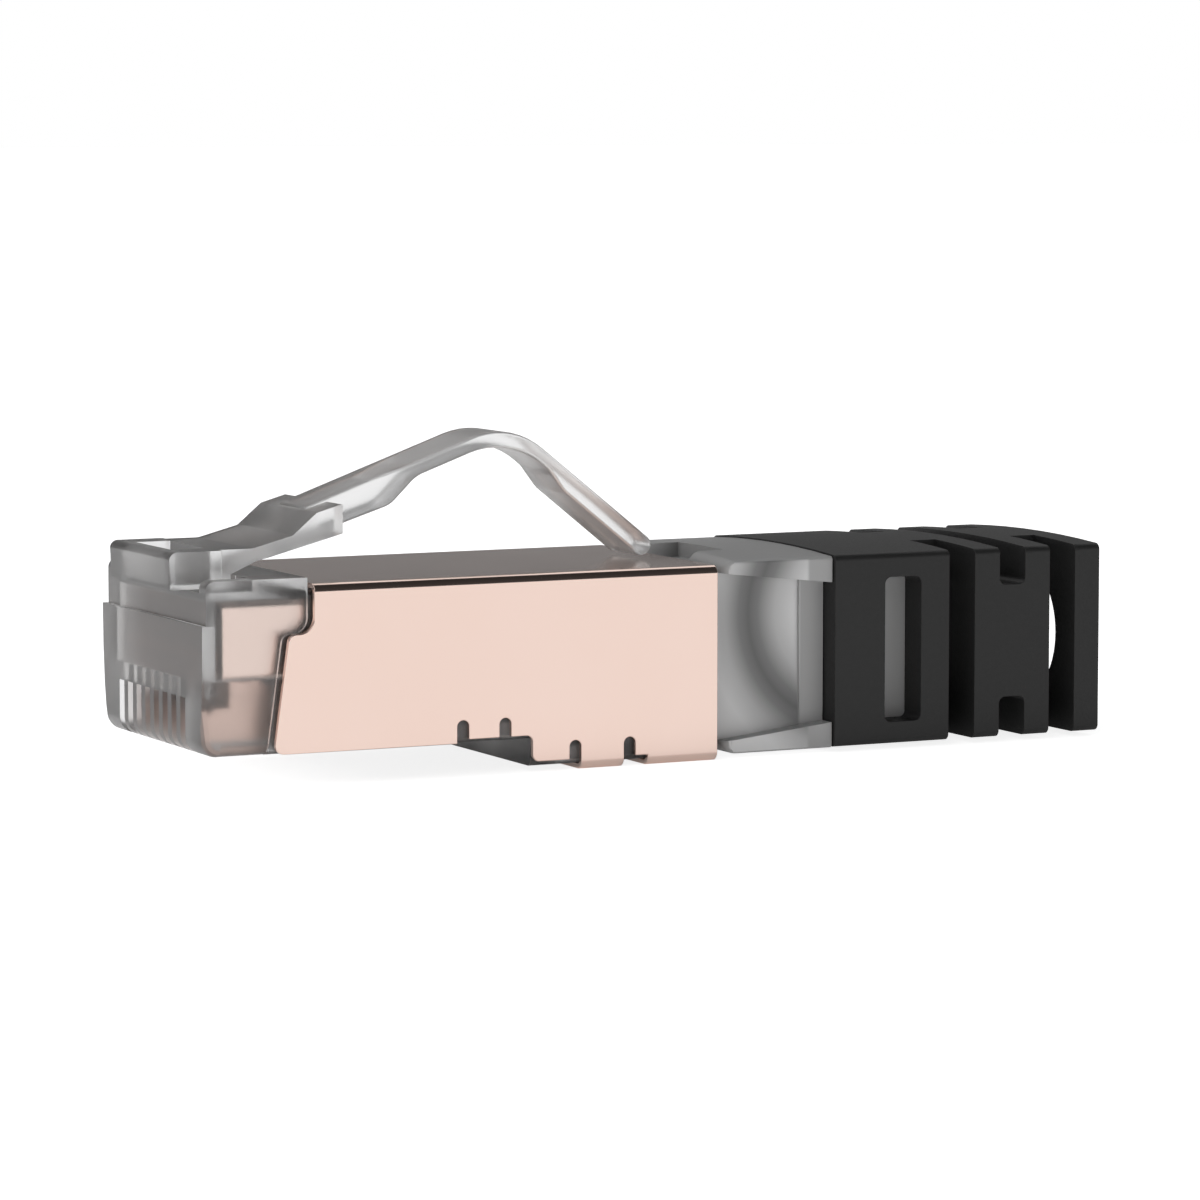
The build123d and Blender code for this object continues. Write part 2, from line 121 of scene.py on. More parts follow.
# %% Sockets with operators
class Wire:
    """A socket's value, with arithmetic that adds Math nodes."""

    def __init__(self, tree, socket):
        self.tree = tree
        self.socket = socket

    def _sum(self, operation, first, second):
        node = self.tree.nodes.new("ShaderNodeMath")
        node.operation = operation
        for slot, value in enumerate((first, second)):
            plug_in(self.tree, node.inputs[slot], value)
        return Wire(self.tree, node.outputs[0])

    def __add__(self, other):
        return self._sum("ADD", self, other)

    __radd__ = __add__

    def __mul__(self, other):
        return self._sum("MULTIPLY", self, other)

    __rmul__ = __mul__

    def __sub__(self, other):
        return self._sum("SUBTRACT", self, other)

    def __rsub__(self, other):
        return self._sum("SUBTRACT", other, self)


def plug_in(links_of, socket, value):
    """Links a wire to a socket, or sets the socket's own value."""
    if isinstance(value, Wire):
        links_of.links.new(value.socket, socket)
    else:
        socket.default_value = value


# %% Trees of nodes
class Nodes:
    """A node tree that is built one call a node."""

    def __init__(self, tree):
        self.tree = tree
        tree.nodes.clear()

    def add(self, kind, settings=(), inputs=(), output=0):
        """Adds a node, sets it up, feeds its sockets and gives one output."""
        node = self.tree.nodes.new(kind)
        for name, value in dict(settings).items():
            if name == "stops":
                ramp = node.color_ramp.elements
                for place, colour in value[2:]:
                    ramp.new(place)
                for element, (place, colour) in zip(ramp, value):
                    element.position = place
                    element.color = colour
            else:
                setattr(node, name, value)
        for name, value in dict(inputs).items():
            plug_in(self.tree, node.inputs[name], value)
        return Wire(self.tree, node.outputs[output]) if node.outputs else node

    def mixed(self, share, first, second):
        """Colour between two others."""
        sockets = {0: share, 6: first, 7: second}
        return self.add("ShaderNodeMix", {"data_type": "RGBA"}, sockets, output=2)

    def parts(self, vector):
        """The three components of a vector."""
        node = self.tree.nodes.new("ShaderNodeSeparateXYZ")
        plug_in(self.tree, node.inputs[0], vector)
        return [Wire(self.tree, output) for output in node.outputs]

    def unsigned(self, value):
        """A value without its sign."""
        return self.add("ShaderNodeMath", {"operation": "ABSOLUTE"}, {0: value})

    def mask(self, *slopes):
        """Product of soft steps, each (value, where it is 0, where it is 1)."""
        share = 1.0
        for value, none, full in slopes:
            ends = {"Value": value, "From Min": none, "From Max": full}
            step = self.add("ShaderNodeMapRange", {"interpolation_type": "SMOOTHSTEP"}, ends)
            share = step * share
        return share

    def place(self):
        """Place on the piece, in metres."""
        return self.add("ShaderNodeTexCoord", output=3)

    def facing(self):
        """The three components of the direction that the surface faces."""
        return self.parts(self.add("ShaderNodeNewGeometry", output=1))

    def noise(self, place, scale, detail=2.0):
        """Soft noise."""
        sockets = {"Vector": place, "Scale": scale, "Detail": detail}
        return self.add("ShaderNodeTexNoise", (), sockets)

    def feed(self, shader, socket, value):
        """Gives one of the shader's sockets a value that varies over the surface."""
        plug_in(self.tree, shader.inputs[socket], value)

    def bump(self, shader, height, strength, distance):
        """Tips the shader's normal by a fine relief."""
        relief = {"Height": height, "Strength": strength, "Distance": distance}
        self.feed(shader, "Normal", self.add("ShaderNodeBump", (), relief))


def grey(value):
    """A neutral colour."""
    return (value, value, value, 1.0)


def surface(name, look=None, **values):
    """A Principled material: look links what varies, values are the uniform sockets."""
    made = bpy.data.materials.new(name)
    made.use_nodes = True
    tree = Nodes(made.node_tree)
    shader = made.node_tree.nodes.new("ShaderNodeBsdfPrincipled")
    for socket, value in values.items():
        shader.inputs[socket.replace("_", " ")].default_value = value
    if look:
        look(tree, shader)
    output = made.node_tree.nodes.new("ShaderNodeOutputMaterial")
    made.node_tree.links.new(shader.outputs[0], output.inputs[0])
    return made


# %% [markdown]
# Light for glass and metal
# Polished metal and clear plastic have almost no colour of their own: they show what stands
# around them. The photograph was lit by one broad white surface in front, darkness above it
# on the right, a soft strip high behind and a grey room beyond. A world with those bands,
# smooth from one to the next, gives the bright side, the dark line along the bend and the
# dim roof of the shield. A broad soft box high on the left lights the plug from its other
# sides. The bands are set by elevation: half the sine plus a half is a ramp's place.


# %% World
def band(degrees):
    """Ramp place of an elevation."""
    return 0.5 + 0.5 * math.sin(math.radians(degrees))


front_stops = [
    (0.0, grey(1.00)),
    (band(9), grey(1.00)),
    (band(14), grey(0.05)),
    (band(80), grey(0.03)),
    (1.0, grey(0.04)),
]
back_stops = [
    (0.0, grey(1.00)),
    (band(1.5), grey(1.00)),
    (band(4.2), grey(0.155)),
    (band(28), grey(0.22)),
    (band(42), grey(1.00)),
    (band(60), grey(1.00)),
    (band(75), grey(0.04)),
    (1.0, grey(0.04)),
]
front_way = (-0.44, -0.90)
box_glow = 0.90

world = bpy.data.worlds.new("studio")
world.use_nodes = True
bpy.context.scene.world = world
studio = Nodes(world.node_tree)
east, north, up = studio.parts(studio.add("ShaderNodeTexCoord"))
elevation = up * 0.5 + 0.5
front_light = studio.add("ShaderNodeValToRGB", {"stops": front_stops}, {"Fac": elevation})
back_light = studio.add("ShaderNodeValToRGB", {"stops": back_stops}, {"Fac": elevation})
in_front = studio.mask((east * front_way[0] + north * front_way[1], -0.50, -0.34))
left_box = studio.mask((east * -1.0, 0.05, 0.40), (up, 0.30, 0.55))
room = studio.mixed(in_front, back_light, front_light)
lit_room = studio.mixed(left_box, room, grey(box_glow))
seen_straight = studio.add("ShaderNodeLightPath")
backdrop = studio.mixed(seen_straight, lit_room, grey(1.0))
glow = studio.add("ShaderNodeBackground", (), {"Color": backdrop, "Strength": 1.0})
studio.add("ShaderNodeOutputWorld", (), {"Surface": glow})
bpy.context.scene.view_settings.view_transform = "Standard"
print("world bands:", len(front_stops), "in front,", len(back_stops), "behind")

# %% [markdown]
# The floor
# The plug stands on a pale translucent table lit from below, the usual way to photograph
# clear plastic: it gives a white ground, light under the folded tabs and only a faint shadow.
# The table glows by its emission, and a soft patch of painted shadow round the plug darkens
# that glow, mostly for what the plug's own plastic and metal mirror. A single large
# quad is enough, because its far edge lies beyond the view.

# %% Floor
floor_half = 3.0
shade_middle = 6.0 * MM
shade_from = (25.0 * MM, 10.0 * MM)
shade_full = (18.0 * MM, 4.0 * MM)
faint_shade = 0.12
deep_shade = 0.76
table_glow = 0.62
table_white = 0.95


def lit_table(tree, shader):
    """Look of the table: a glow as if lit from below, with a painted shadow round the plug behind
    its nose.
    """
    along, across, _ = tree.parts(tree.place())
    reach = (tree.unsigned(along - shade_middle), tree.unsigned(across))
    # Painted shadow: a soft patch round the plug darkens the glow, faintly where it is seen
    # straight.
    shade = tree.mask(*zip(reach, shade_from, shade_full))
    straight = tree.add("ShaderNodeLightPath")
    faint = tree.mixed(shade * faint_shade, grey(table_white), grey(0.0))
    deep = tree.mixed(shade * deep_shade, grey(table_glow), grey(0.0))
    tree.feed(shader, "Emission Color", tree.mixed(straight, deep, faint))


table = surface(
    "lit_table",
    lit_table,
    Base_Color=grey(0.80),
    Roughness=1.0,
    Specular_IOR_Level=0.0,
    Emission_Strength=1.0,
)
floor_mesh = bpy.data.meshes.new("floor")
floor_signs = ((-1, -1), (1, -1), (1, 1), (-1, 1))
floor_corners = [(floor_half * x, floor_half * y, 0) for x, y in floor_signs]
floor_mesh.from_pydata(floor_corners, [], [(0, 1, 2, 3)])
floor_mesh.materials.append(table)
floor = bpy.data.objects.new("floor", floor_mesh)
bpy.context.scene.collection.objects.link(floor)
print("floor", 2 * floor_half, "m wide")

# %% [markdown]
# Clear plastic
# The nose and the latch are polycarbonate. It bends light more than water or glass does,
# with an index of refraction near 1.59. The mould is blasted, so things just behind the
# surface are soft-edged. A long way through the plastic also takes light away: the plug is
# clear through its thin sides and grey along its length. A volume would do that, but it
# needs closed meshes, so the faces that look along the plug or up get painted shade in their
# colour instead, and so do the milled slots of the comb. Two places get darker painted shade
# still: the faces in front of the wire guide and the nose's shoulders.

# %% Clear plastic finish
soft_edge = 0.1 * MM
comb_rear = at(3.90, 0, 0).x
comb_top = at(0, 0, 3.16).z
comb_half_width = 3.3 * MM
guide_foot, guide_head = at(0, 0, 1.9).z, at(0, 0, 6.8).z
shoulder_top = at(0, 0, 7.15).z
shoulder_front = at(2.30, 0, 0).x
clear_tint = (0.985, 0.985, 0.985, 1.0)
# Painted shade for faces that look along the plug or up.
long_way_shade = (0.60, 0.59, 0.585, 1.0)
# Painted shade in the comb's slots.
slot_shade = (0.93, 0.91, 0.90, 1.0)
# Painted shade in front of the wire guide.
guide_shade = (0.26, 0.20, 0.185, 1.0)
# Painted shade on the nose's shoulders.
shoulder_shade = (0.45, 0.37, 0.35, 1.0)


def clear_with_painted_shade(tree, shader):
    """Blasted mould, with painted shade along the plug and up, in the comb, by the guide and on
    the shoulders.
    """
    place = tree.place()
    tree.bump(shader, tree.noise(place, 900.0), strength=0.25, distance=0.01 * MM)
    along, across, height = tree.parts(place)
    face_along, face_across, face_up = tree.facing()
    from_middle = tree.unsigned(across)
    # Faces that don't look sideways get painted shade.
    sideways = tree.mask((tree.unsigned(face_across), 0.45, 0.97))
    # Where the comb's painted shade goes.
    in_comb = tree.mask(
        (along, comb_rear + soft_edge, comb_rear),
        (height, comb_top + soft_edge, comb_top),
        (from_middle, comb_half_width + soft_edge, comb_half_width),
    )
    # Where the painted shade in front of the wire guide goes.
    by_guide = tree.mask(
        (face_along * -1.0, 0.80, 0.95),
        (across, 5.0 * MM, 0.5 * MM),
        (height, guide_foot, guide_foot + 1.2 * MM),
        (height, guide_head, guide_head - 0.3 * MM),
    )
    # Where the painted shade on the shoulders goes.
    on_shoulder = tree.mask(
        (face_up, 0.30, 0.90),
        (along, shoulder_front, shoulder_front + 0.2 * MM),
        (height, shoulder_top, shoulder_top + soft_edge),
        (height, shoulder_top + 0.5 * MM, shoulder_top + 0.4 * MM),
        (from_middle, 3.9 * MM, 4.2 * MM),
    )
    # The base colour carries painted shade, one mask after another.
    tint = tree.mixed(sideways, long_way_shade, clear_tint)
    tint = tree.mixed(by_guide, tint, guide_shade)
    tint = tree.mixed(on_shoulder, tint, shoulder_shade)
    tree.feed(shader, "Base Color", tree.mixed(in_comb, tint, slot_shade))


clear_plastic = surface(
    "clear_polycarbonate", clear_with_painted_shade, Roughness=0.29, IOR=1.586, Transmission_Weight=1.0
)
print(clear_plastic.name, "has", len(clear_plastic.node_tree.nodes), "nodes")

# %% [markdown]
# Copper-coloured sheet and blades
# The shield is thin strip with a satin plating. Metal is one flag on the shader, and its
# colour is the reflection's colour. Rolling leaves fine lines along the strip, so a noise
# squeezed across the grain shifts the roughness and tips the surface by a hair. The wire
# guide behind the clear wall has the same plating, and its front face is painted dark as
# painted shade. The contact blades are redder and less polished.

# %% Plated finishes
grain_squeeze = (300.0, 4000.0, 9000.0)
sheet_tones = (0.885, 0.680, 0.595, 1.0), (0.905, 0.705, 0.625, 1.0)
# The guide's plating, then the painted shade on its front.
guide_tone_and_shade = (1.0, 0.80, 0.715, 1.0), (0.10, 0.075, 0.065, 1.0)


def rolled_sheet(tree, shader):
    """Look of plated strip: fine lines along the sheet and a faint haze."""
    place = tree.place()
    squeezed = tree.add("ShaderNodeMapping", (), {"Vector": place, "Scale": grain_squeeze})
    grain = tree.noise(squeezed, 1.0, detail=3.0)
    haze = tree.noise(place, 260.0)
    tree.feed(shader, "Roughness", grain * 0.04 + haze * 0.03 + 0.09)
    tree.feed(shader, "Base Color", tree.mixed(haze, *sheet_tones))
    tree.bump(shader, grain, strength=0.05, distance=0.01 * MM)


def blade_polish(tree, shader):
    """Look of a stamped and plated blade: a cloudy polish."""
    tree.feed(shader, "Roughness", tree.noise(tree.place(), 1500.0) * 0.12 + 0.34)


def plated_with_painted_shade(tree, shader):
    """Look of the wire guide: plated all round, with painted shade on its front face."""
    rolled_sheet(tree, shader)
    # Painted shade: faces that look forward get the dark colour.
    front = tree.mask((tree.facing()[0] * -1.0, 0.5, 0.9))
    tree.feed(shader, "Base Color", tree.mixed(front, *guide_tone_and_shade))


guide_metal = surface("guide_plate", plated_with_painted_shade, Metallic=1.0)
shield_metal = surface("copper_plate", rolled_sheet, Metallic=1.0)
contact_metal = surface(
    "blade_plate", blade_polish, Metallic=1.0, Base_Color=(0.92, 0.69, 0.60, 1.0)
)
print("plated:", guide_metal.name, shield_metal.name, contact_metal.name)

# %% [markdown]
# Frosted insert and black boot
# The insert is a milky plastic: light goes in, wanders and comes out softened. A little rough
# transmission under a neutral tint does that without long render times. Each side gets a
# soft dark arc of painted shade, which a ramp over the distance from the arc's middle
# paints. The boot is soft black plastic with a spark-eroded
# texture, so it scatters a broad dim sheen.

# %% Frosted and black finishes
arc_middle = at(31.44, 0, 4.89)
arc_rear = at(28.9, 0, 0).x
arc_reach = 10.0 * MM
# Painted shade: the dark arc's tones, by distance from its middle.
arc_shade_tones = [
    (0.0, grey(1.00)),
    (0.24, grey(0.96)),
    (0.37, grey(0.62)),
    (0.46, grey(0.25)),
    (0.51, grey(0.17)),
    (0.56, grey(0.25)),
    (0.63, grey(0.56)),
    (0.72, grey(0.84)),
]
insert_tone = 0.46


def fine_grain(scale, depth, low, spread):
    """Look of an eroded mould: a fine bump with a matching change of roughness."""

    def look(tree, shader):
        grain = tree.noise(tree.place(), scale, detail=4.0)
        tree.feed(shader, "Roughness", grain * spread + low)
        tree.bump(shader, grain, strength=depth, distance=0.02 * MM)

    return look


def insert_with_painted_arc(tree, shader):
    """Look of the insert: frosted, with a soft dark arc of painted shade on each side."""
    fine_grain(5200.0, 0.15, 0.30, 0.10)(tree, shader)
    along, across, height = tree.parts(tree.place())
    joined = {"X": along - arc_middle.x, "Z": height - arc_middle.z}
    offset = tree.add("ShaderNodeCombineXYZ", (), joined)
    reach = tree.add("ShaderNodeVectorMath", {"operation": "LENGTH"}, {0: offset}, output=1)
    # Painted shade: a dark arc on each side face.
    tone = tree.add("ShaderNodeValToRGB", {"stops": arc_shade_tones}, {"Fac": reach * (1 / arc_reach)})
    on_side = tree.mask(
        (tree.unsigned(tree.facing()[1]), 0.80, 0.95),
        (along, arc_rear + soft_edge, arc_rear - soft_edge),
    )
    tree.feed(shader, "Base Color", tree.mixed(on_side, grey(insert_tone), tone))


frosted_plastic = surface(
    "frosted_polycarbonate", insert_with_painted_arc, IOR=1.45, Transmission_Weight=0.12
)
boot_plastic = surface(
    "black_elastomer",
    fine_grain(9000.0, 0.35, 0.42, 0.16),
    Base_Color=(0.018, 0.018, 0.018, 1.0),
    IOR=1.5,
    Specular_IOR_Level=0.36,
)
print("moulded:", frosted_plastic.name, boot_plastic.name)

# %% [markdown]
# From facets to rounded solids
# No moulded or pressed part has a perfectly sharp edge: the fine radius catches a line of
# light, and that line is what makes a render look solid. The frame's meshes are never
# changed, so each piece is a copy: its doubled points are welded, flat facets joined into
# one face, and its outside edges bevelled. Working in millimetres keeps the tools accurate.

# %% Copies and bevels
sharp_angle = math.radians(28.0)
flat_angle = math.radians(0.5)
copy_weld = 0.0005
bevel_weld = 0.002


def linked(name, work):
    """New object in the scene from a bmesh, which is freed."""
    mesh = bpy.data.meshes.new(name)
    work.to_mesh(mesh)
    work.free()
    made = bpy.data.objects.new(name, mesh)
    bpy.context.scene.collection.objects.link(made)
    return made


def millimetre_copy(name, node_name):
    """New object with the node's mesh, welded, in millimetres."""
    work = bmesh.new()
    work.from_mesh(nodes[node_name].data)
    bmesh.ops.scale(work, vec=(1 / MM, 1 / MM, 1 / MM), verts=work.verts)
    bmesh.ops.remove_doubles(work, verts=work.verts, dist=copy_weld)
    return linked(name, work)


def bevelled(piece, chosen, radius, segments, clamp=False, triangles=False):
    """Joins flat facets, then gives each edge that chosen picks a radius."""
    work = bmesh.new()
    work.from_mesh(piece.data)
    bmesh.ops.remove_doubles(work, verts=work.verts, dist=bevel_weld)
    bmesh.ops.dissolve_limit(work, angle_limit=flat_angle, verts=work.verts, edges=work.edges)
    edges = [edge for edge in work.edges if len(edge.link_faces) == 2 and chosen(edge)]
    bmesh.ops.bevel(
        work,
        geom=edges,
        offset=radius,
        offset_type="OFFSET",
        segments=segments,
        profile=0.5,
        affect="EDGES",
        clamp_overlap=clamp,
    )
    if triangles:
        bmesh.ops.triangulate(work, faces=work.faces)
    print(piece.name, "gets a radius on", len(edges), "edges")
    work.to_mesh(piece.data)
    work.free()
    return piece


def sharp_outside(edge):
    """Whether an edge is an outside one and sharp."""
    return edge.is_convex and edge.calc_face_angle(0.0) > sharp_angle


def rounded(piece, radius, segments=2):
    """The piece with all its sharp outside edges rounded."""
    return bevelled(piece, sharp_outside, radius, segments, clamp=True)


def finished(piece, finish, crease=32.0):
    """Back to metres, smooth shading with kept creases, and one finish."""
    piece.data.transform(Matrix.Scale(MM, 4))
    piece.data.materials.clear()
    piece.data.materials.append(finish)
    piece.data.shade_smooth()
    piece.data.set_sharp_from_angle(angle=math.radians(crease))
    weigh = piece.modifiers.new("weigh", "WEIGHTED_NORMAL")
    weigh.keep_sharp = True
    print(piece.name, "has", len(piece.data.polygons), "faces")
    return piece


# %% [markdown]
# Outlines, bars and booleans
# A moulded piece is easiest to draw from its side: an outline of corners, each with the
# radius that rounds it, which is how a mould maker's drawing gives it. Pulled across the
# plug, the outline is a bar, and bars are fused or cut with booleans. The exact solver is
# the slow one, but it copes with faces that lie in the same plane. It returns its points in
# an order that changes from run to run, so they are sorted, and the scene comes out the
# same each time.


# %% Side outlines with rounded corners
def softened(corners, steps=9):
    """Outline through the corners (station, height, radius), with an arc at each."""
    outline = []
    for i, (station, height, radius) in enumerate(corners):
        corner = Vector((station, height))
        if radius == 0:
            outline.append(corner)
            continue
        back = (Vector(corners[i - 1][:2]) - corner).normalized()
        ahead = (Vector(corners[(i + 1) % len(corners)][:2]) - corner).normalized()
        half = back.angle(ahead) / 2
        centre = corner + (back + ahead).normalized() * (radius / math.sin(half))
        first = corner + back * (radius / math.tan(half)) - centre
        last = corner + ahead * (radius / math.tan(half)) - centre
        turn = first.angle_signed(last)
        for step in range(steps + 1):
            spoke = first.copy()
            spoke.rotate(Matrix.Rotation(-turn * step / steps, 2))
            outline.append(centre + spoke)
    return outline


def prism(name, outline, half_width):
    """Straight bar across the plug with the given side outline, in millimetres."""
    work = bmesh.new()
    near = [work.verts.new(at(point.x, -half_width, point.y) / MM) for point in outline]
    far = [work.verts.new(at(point.x, half_width, point.y) / MM) for point in outline]
    work.faces.new(near)
    work.faces.new(far[::-1])
    for i, start in enumerate(near):
        j = (i + 1) % len(near)
        work.faces.new((near[j], start, far[i], far[j]))
    bmesh.ops.recalc_face_normals(work, faces=work.faces)
    return linked(name, work)


def slab(name, stations, heights, half_width):
    """Plain block between two stations and two heights."""
    (front, rear), (low, high) = stations, heights
    corners = [(front, low, 0), (front, high, 0), (rear, high, 0), (rear, low, 0)]
    return prism(name, softened(corners), half_width)


# %% Booleans
def in_order(mesh):
    """The same mesh, sorted by place: the solver gives its points and faces in any order."""
    places = [tuple(round(c, 4) + 0.0 for c in vert.co) for vert in mesh.vertices]
    order = sorted(range(len(places)), key=places.__getitem__)
    rank = {old: new for new, old in enumerate(order)}
    rings = []
    for face in mesh.polygons:
        ring = [rank[i] for i in face.vertices]
        start = ring.index(min(ring))
        rings.append(ring[start:] + ring[:start])
    made = bpy.data.meshes.new(mesh.name)
    made.from_pydata([places[i] for i in order], [], sorted(rings))
    return made


def combined(base, *steps):
    """base after each (operation, other) in turn. The others are removed."""
    for operation, other in steps:
        change = base.modifiers.new("change", "BOOLEAN")
        change.operation = operation
        change.solver = "EXACT"
        change.object = other
    evaluated = base.evaluated_get(bpy.context.evaluated_depsgraph_get())
    mesh = bpy.data.meshes.new_from_object(evaluated)
    base.modifiers.clear()
    base.data = in_order(mesh)
    for _, other in steps:
        bpy.data.objects.remove(other)
    return base


# %% [markdown]
# Dishes and rounded slots
# Each side of the insert is a thin web between two flanges, with a shallow dish in it. The
# dish is a bowl whose depth falls off with the square of the distance from its middle, so a
# fine grid of points draws it smoothly, and the block behind that grid cuts it. The boot's
# slots end in round corners, because a square one would tear when the boot bends.

# %% Dishes in the insert
web_half_width = 4.80
web_front, web_rear = 24.90, 28.90
taper_front, taper_rear = 24.70, 30.15
insert_low, insert_high = -1.24, 7.30
flange_front, flange_rear = 0.55, 1.15
dish_depth = 0.24
dish_middle = Vector((31.20, 4.95))
dish_reach = 5.30
plate_front = 25.50
plate_low, plate_high = -0.50, 6.60
plate_thickness = 1.00


def web_heights(station):
    """Lowest and highest point of the web, between its tapering flanges."""
    share = (station - taper_front) / (taper_rear - taper_front)
    flange = flange_front + (flange_rear - flange_front) * share
    return insert_low + flange, insert_high - flange


def dish_grid(side, outer, columns, rows):
    """Points of the dish, or of the flat back of the block that cuts it."""
    for i in range(columns + 1):
        station = web_front + (web_rear - web_front) * i / columns
        low, high = web_heights(station)
        for j in range(rows + 1):
            height = low + (high - low) * j / rows
            share = (Vector((station, height)) - dish_middle).length / dish_reach
            depth = max(dish_depth * (1 - share * share), -0.005)
            across = web_half_width + 0.05 if outer else web_half_width - depth
            yield at(station, 0, height) / MM + Vector((0, side * across, 0))


def dish_cutter(side, columns=28, rows=40):
    """Thin block whose inner face is the dish of one web."""
    work = bmesh.new()
    inner = [work.verts.new(point) for point in dish_grid(side, False, columns, rows)]
    outer = [work.verts.new(point) for point in dish_grid(side, True, columns, rows)]
    step = rows + 1
    for i in range(columns):
        for j in range(rows):
            corner = i * step + j
            ring = (corner, corner + 1, corner + step + 1, corner + step)
            work.faces.new([inner[k] for k in ring])
            work.faces.new([outer[k] for k in reversed(ring)])
    rim = [i * step for i in range(columns)] + [columns * step + j for j in range(rows)]
    rim += [i * step + rows for i in range(columns, 0, -1)] + list(range(rows, 0, -1))
    for k, first in enumerate(rim):
        second = rim[(k + 1) % len(rim)]
        work.faces.new((inner[first], inner[second], outer[second], outer[first]))
    bmesh.ops.recalc_face_normals(work, faces=work.faces)
    return linked("dish_cutter", work)


def dished(piece):
    """The insert with a smooth shallow dish in each web."""
    plate = slab(
        "web_plate", (plate_front, web_rear + 0.05), (plate_low, plate_high), web_half_width
    )
    hollow = slab(
        "chamber",
        (plate_front - 0.10, web_rear + 0.10),
        (plate_low - 0.10, plate_high + 0.10),
        web_half_width - plate_thickness,
    )
    return combined(
        piece,
        ("UNION", combined(plate, ("DIFFERENCE", hollow))),
        ("DIFFERENCE", dish_cutter(-1)),
        ("DIFFERENCE", dish_cutter(1)),
    )


# %% Slots of the boot
slots_front = at(36.5, 0, 0).x / MM
slot_corner = 0.30
shortest_corner = 0.8
square_angle = math.radians(60)


def slot_bottom(edge):
    """Whether an edge is an inside corner that runs across one of the boot's slots."""
    first, second = (vert.co for vert in edge.verts)
    return (
        not edge.is_convex
        and abs((first - second).normalized().y) > 0.99
        and edge.calc_length() > shortest_corner
        and edge.calc_face_angle(0.0) > square_angle
        and first.x > slots_front
    )


def hollowed(piece):
    """The boot with round corners at the bottom of its slots."""
    return bevelled(piece, slot_bottom, slot_corner, segments=4)


# %% [markdown]
# Shield, insert and boot
# These three ride on the plug's body and keep their solids' form. The sheet's cut edges get
# a tiny radius, as tumbling gives them, and the moulded pieces a larger one. The wire guide
# sits behind clear plastic, so its solid stays and only takes a finish.

# %% Three bodies and the wire guide
bodies = (
    ("shield_sheet", "shield", 0.045, shield_metal, "shield_metal"),
    ("insert_body", "strain_relief_insert", 0.10, frosted_plastic, "frosted_plastic"),
    ("boot_body", "boot", 0.20, boot_plastic, "boot_plastic"),
)
for name, node, radius, finish, slot in bodies:
    piece = millimetre_copy(name, node)
    if name == "insert_body":
        piece = dished(piece)
    if name == "boot_body":
        piece = hollowed(piece)
    piece = finished(rounded(piece, radius, segments=3), finish)
    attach(piece, "plug")
    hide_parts(node)

nodes["load_bar"].data.materials.clear()
nodes["load_bar"].data.materials.append(guide_metal)

# %% [markdown]
# The blades
# Each contact is stamped from strip: a low front that the jack's spring wire rides on, a step
# up behind it, two points that pierce the wire and a sloped rear. Eight equal bars with that
# side outline, one at every 1.02 mm, stand in the comb's slots.

# %% Eight stamped blades
blade_count = 8
blade_pitch = 1.02
blade_half_thickness = 0.15
blade_edge = 0.03
blade_outline = [
    (0.80, 0.52, 0),
    (0.80, 1.95, 0.45),
    (1.76, 1.95, 0),
    (1.76, 3.03, 0),
    (1.98, 3.80, 0),
    (2.20, 3.03, 0),
    (2.70, 3.03, 0),
    (2.92, 3.80, 0),
    (3.14, 3.03, 0),
    (3.68, 2.73, 0),
    (3.68, 0.52, 0.45),
]


def moved_to_way(bar, way):
    """The bar, moved across the plug to one of its eight ways."""
    across = blade_pitch * (way - (blade_count - 1) / 2)
    bar.data.transform(Matrix.Translation((0, across, 0)))
    return bar


for i in range(blade_count):
    blade = prism(f"blade_{i + 1}", softened(blade_outline, steps=5), blade_half_thickness)
    finished(rounded(moved_to_way(blade, i), blade_edge), contact_metal)
    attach(blade, "plug")
    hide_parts(f"contact_{i + 1}")

# %% [markdown]
# The latch is one strip with two bending places
# The frame moves the latch with two hinges, but the real one is moulded in one piece with
# the nose and bends where it is thin. So the root block and the thin root with its catch are
# drawn as two side outlines, and the arched handle as a third. The falling arm's corners are
# given along the arm, which hangs from the peak at its own angle.

# %% Root block, thin root and catch
nose_height = 7.45
trough_floor = 6.92
root_top = 8.51
root_half_width = 3.50
root_corner = 0.12
latch_half_width = 3.12
root_block = prism(
    "root_block",
    softened(
        [
            (-0.53, trough_floor, 0),
            (-0.53, root_top, 0.36),
            (1.90, root_top, 0),
            (1.90, trough_floor, 0),
        ]
    ),
    root_half_width,
)
root_and_catch = prism(
    "root_and_catch",
    softened(
        [
            (1.00, trough_floor, 0),
            (1.00, root_top, 0),
            (3.42, root_top, 0.80),
            (5.26, 8.99, 0.35),
            (6.38, 9.92, 0.35),
            (7.58, 10.26, 0.05),
            (7.58, 8.99, 0.05),
            (4.14, 8.09, 0.80),
            (3.60, 7.98, 1.00),
            (2.40, nose_height, 0),
            (2.40, trough_floor, 0),
        ]
    ),
    latch_half_width,
)


def upright_outside(edge):
    """Whether an edge is an outside one that stands upright."""
    first, second = (vert.co for vert in edge.verts)
    return edge.is_convex and abs(first.z - second.z) > 0.5 and abs(first.x - second.x) < 0.01


bevelled(root_block, upright_outside, root_corner, segments=4, triangles=True)
print("root and catch:", len(root_and_catch.data.vertices), "points")

# %% Handle, peak and falling arm with its foot
handle_half_width = 1.50
handle_edge = 0.15
tail_axis = Vector((17.45, 12.20))
tail_fall = math.radians(39.73)
tail_along = Vector((math.cos(tail_fall), -math.sin(tail_fall)))
tail_out = Vector((math.sin(tail_fall), math.cos(tail_fall)))


def on_tail(distance, lift, radius):
    """Corner given along the falling arm and square to it."""
    point = tail_axis + tail_along * distance + tail_out * lift
    return (point.x, point.y, radius)


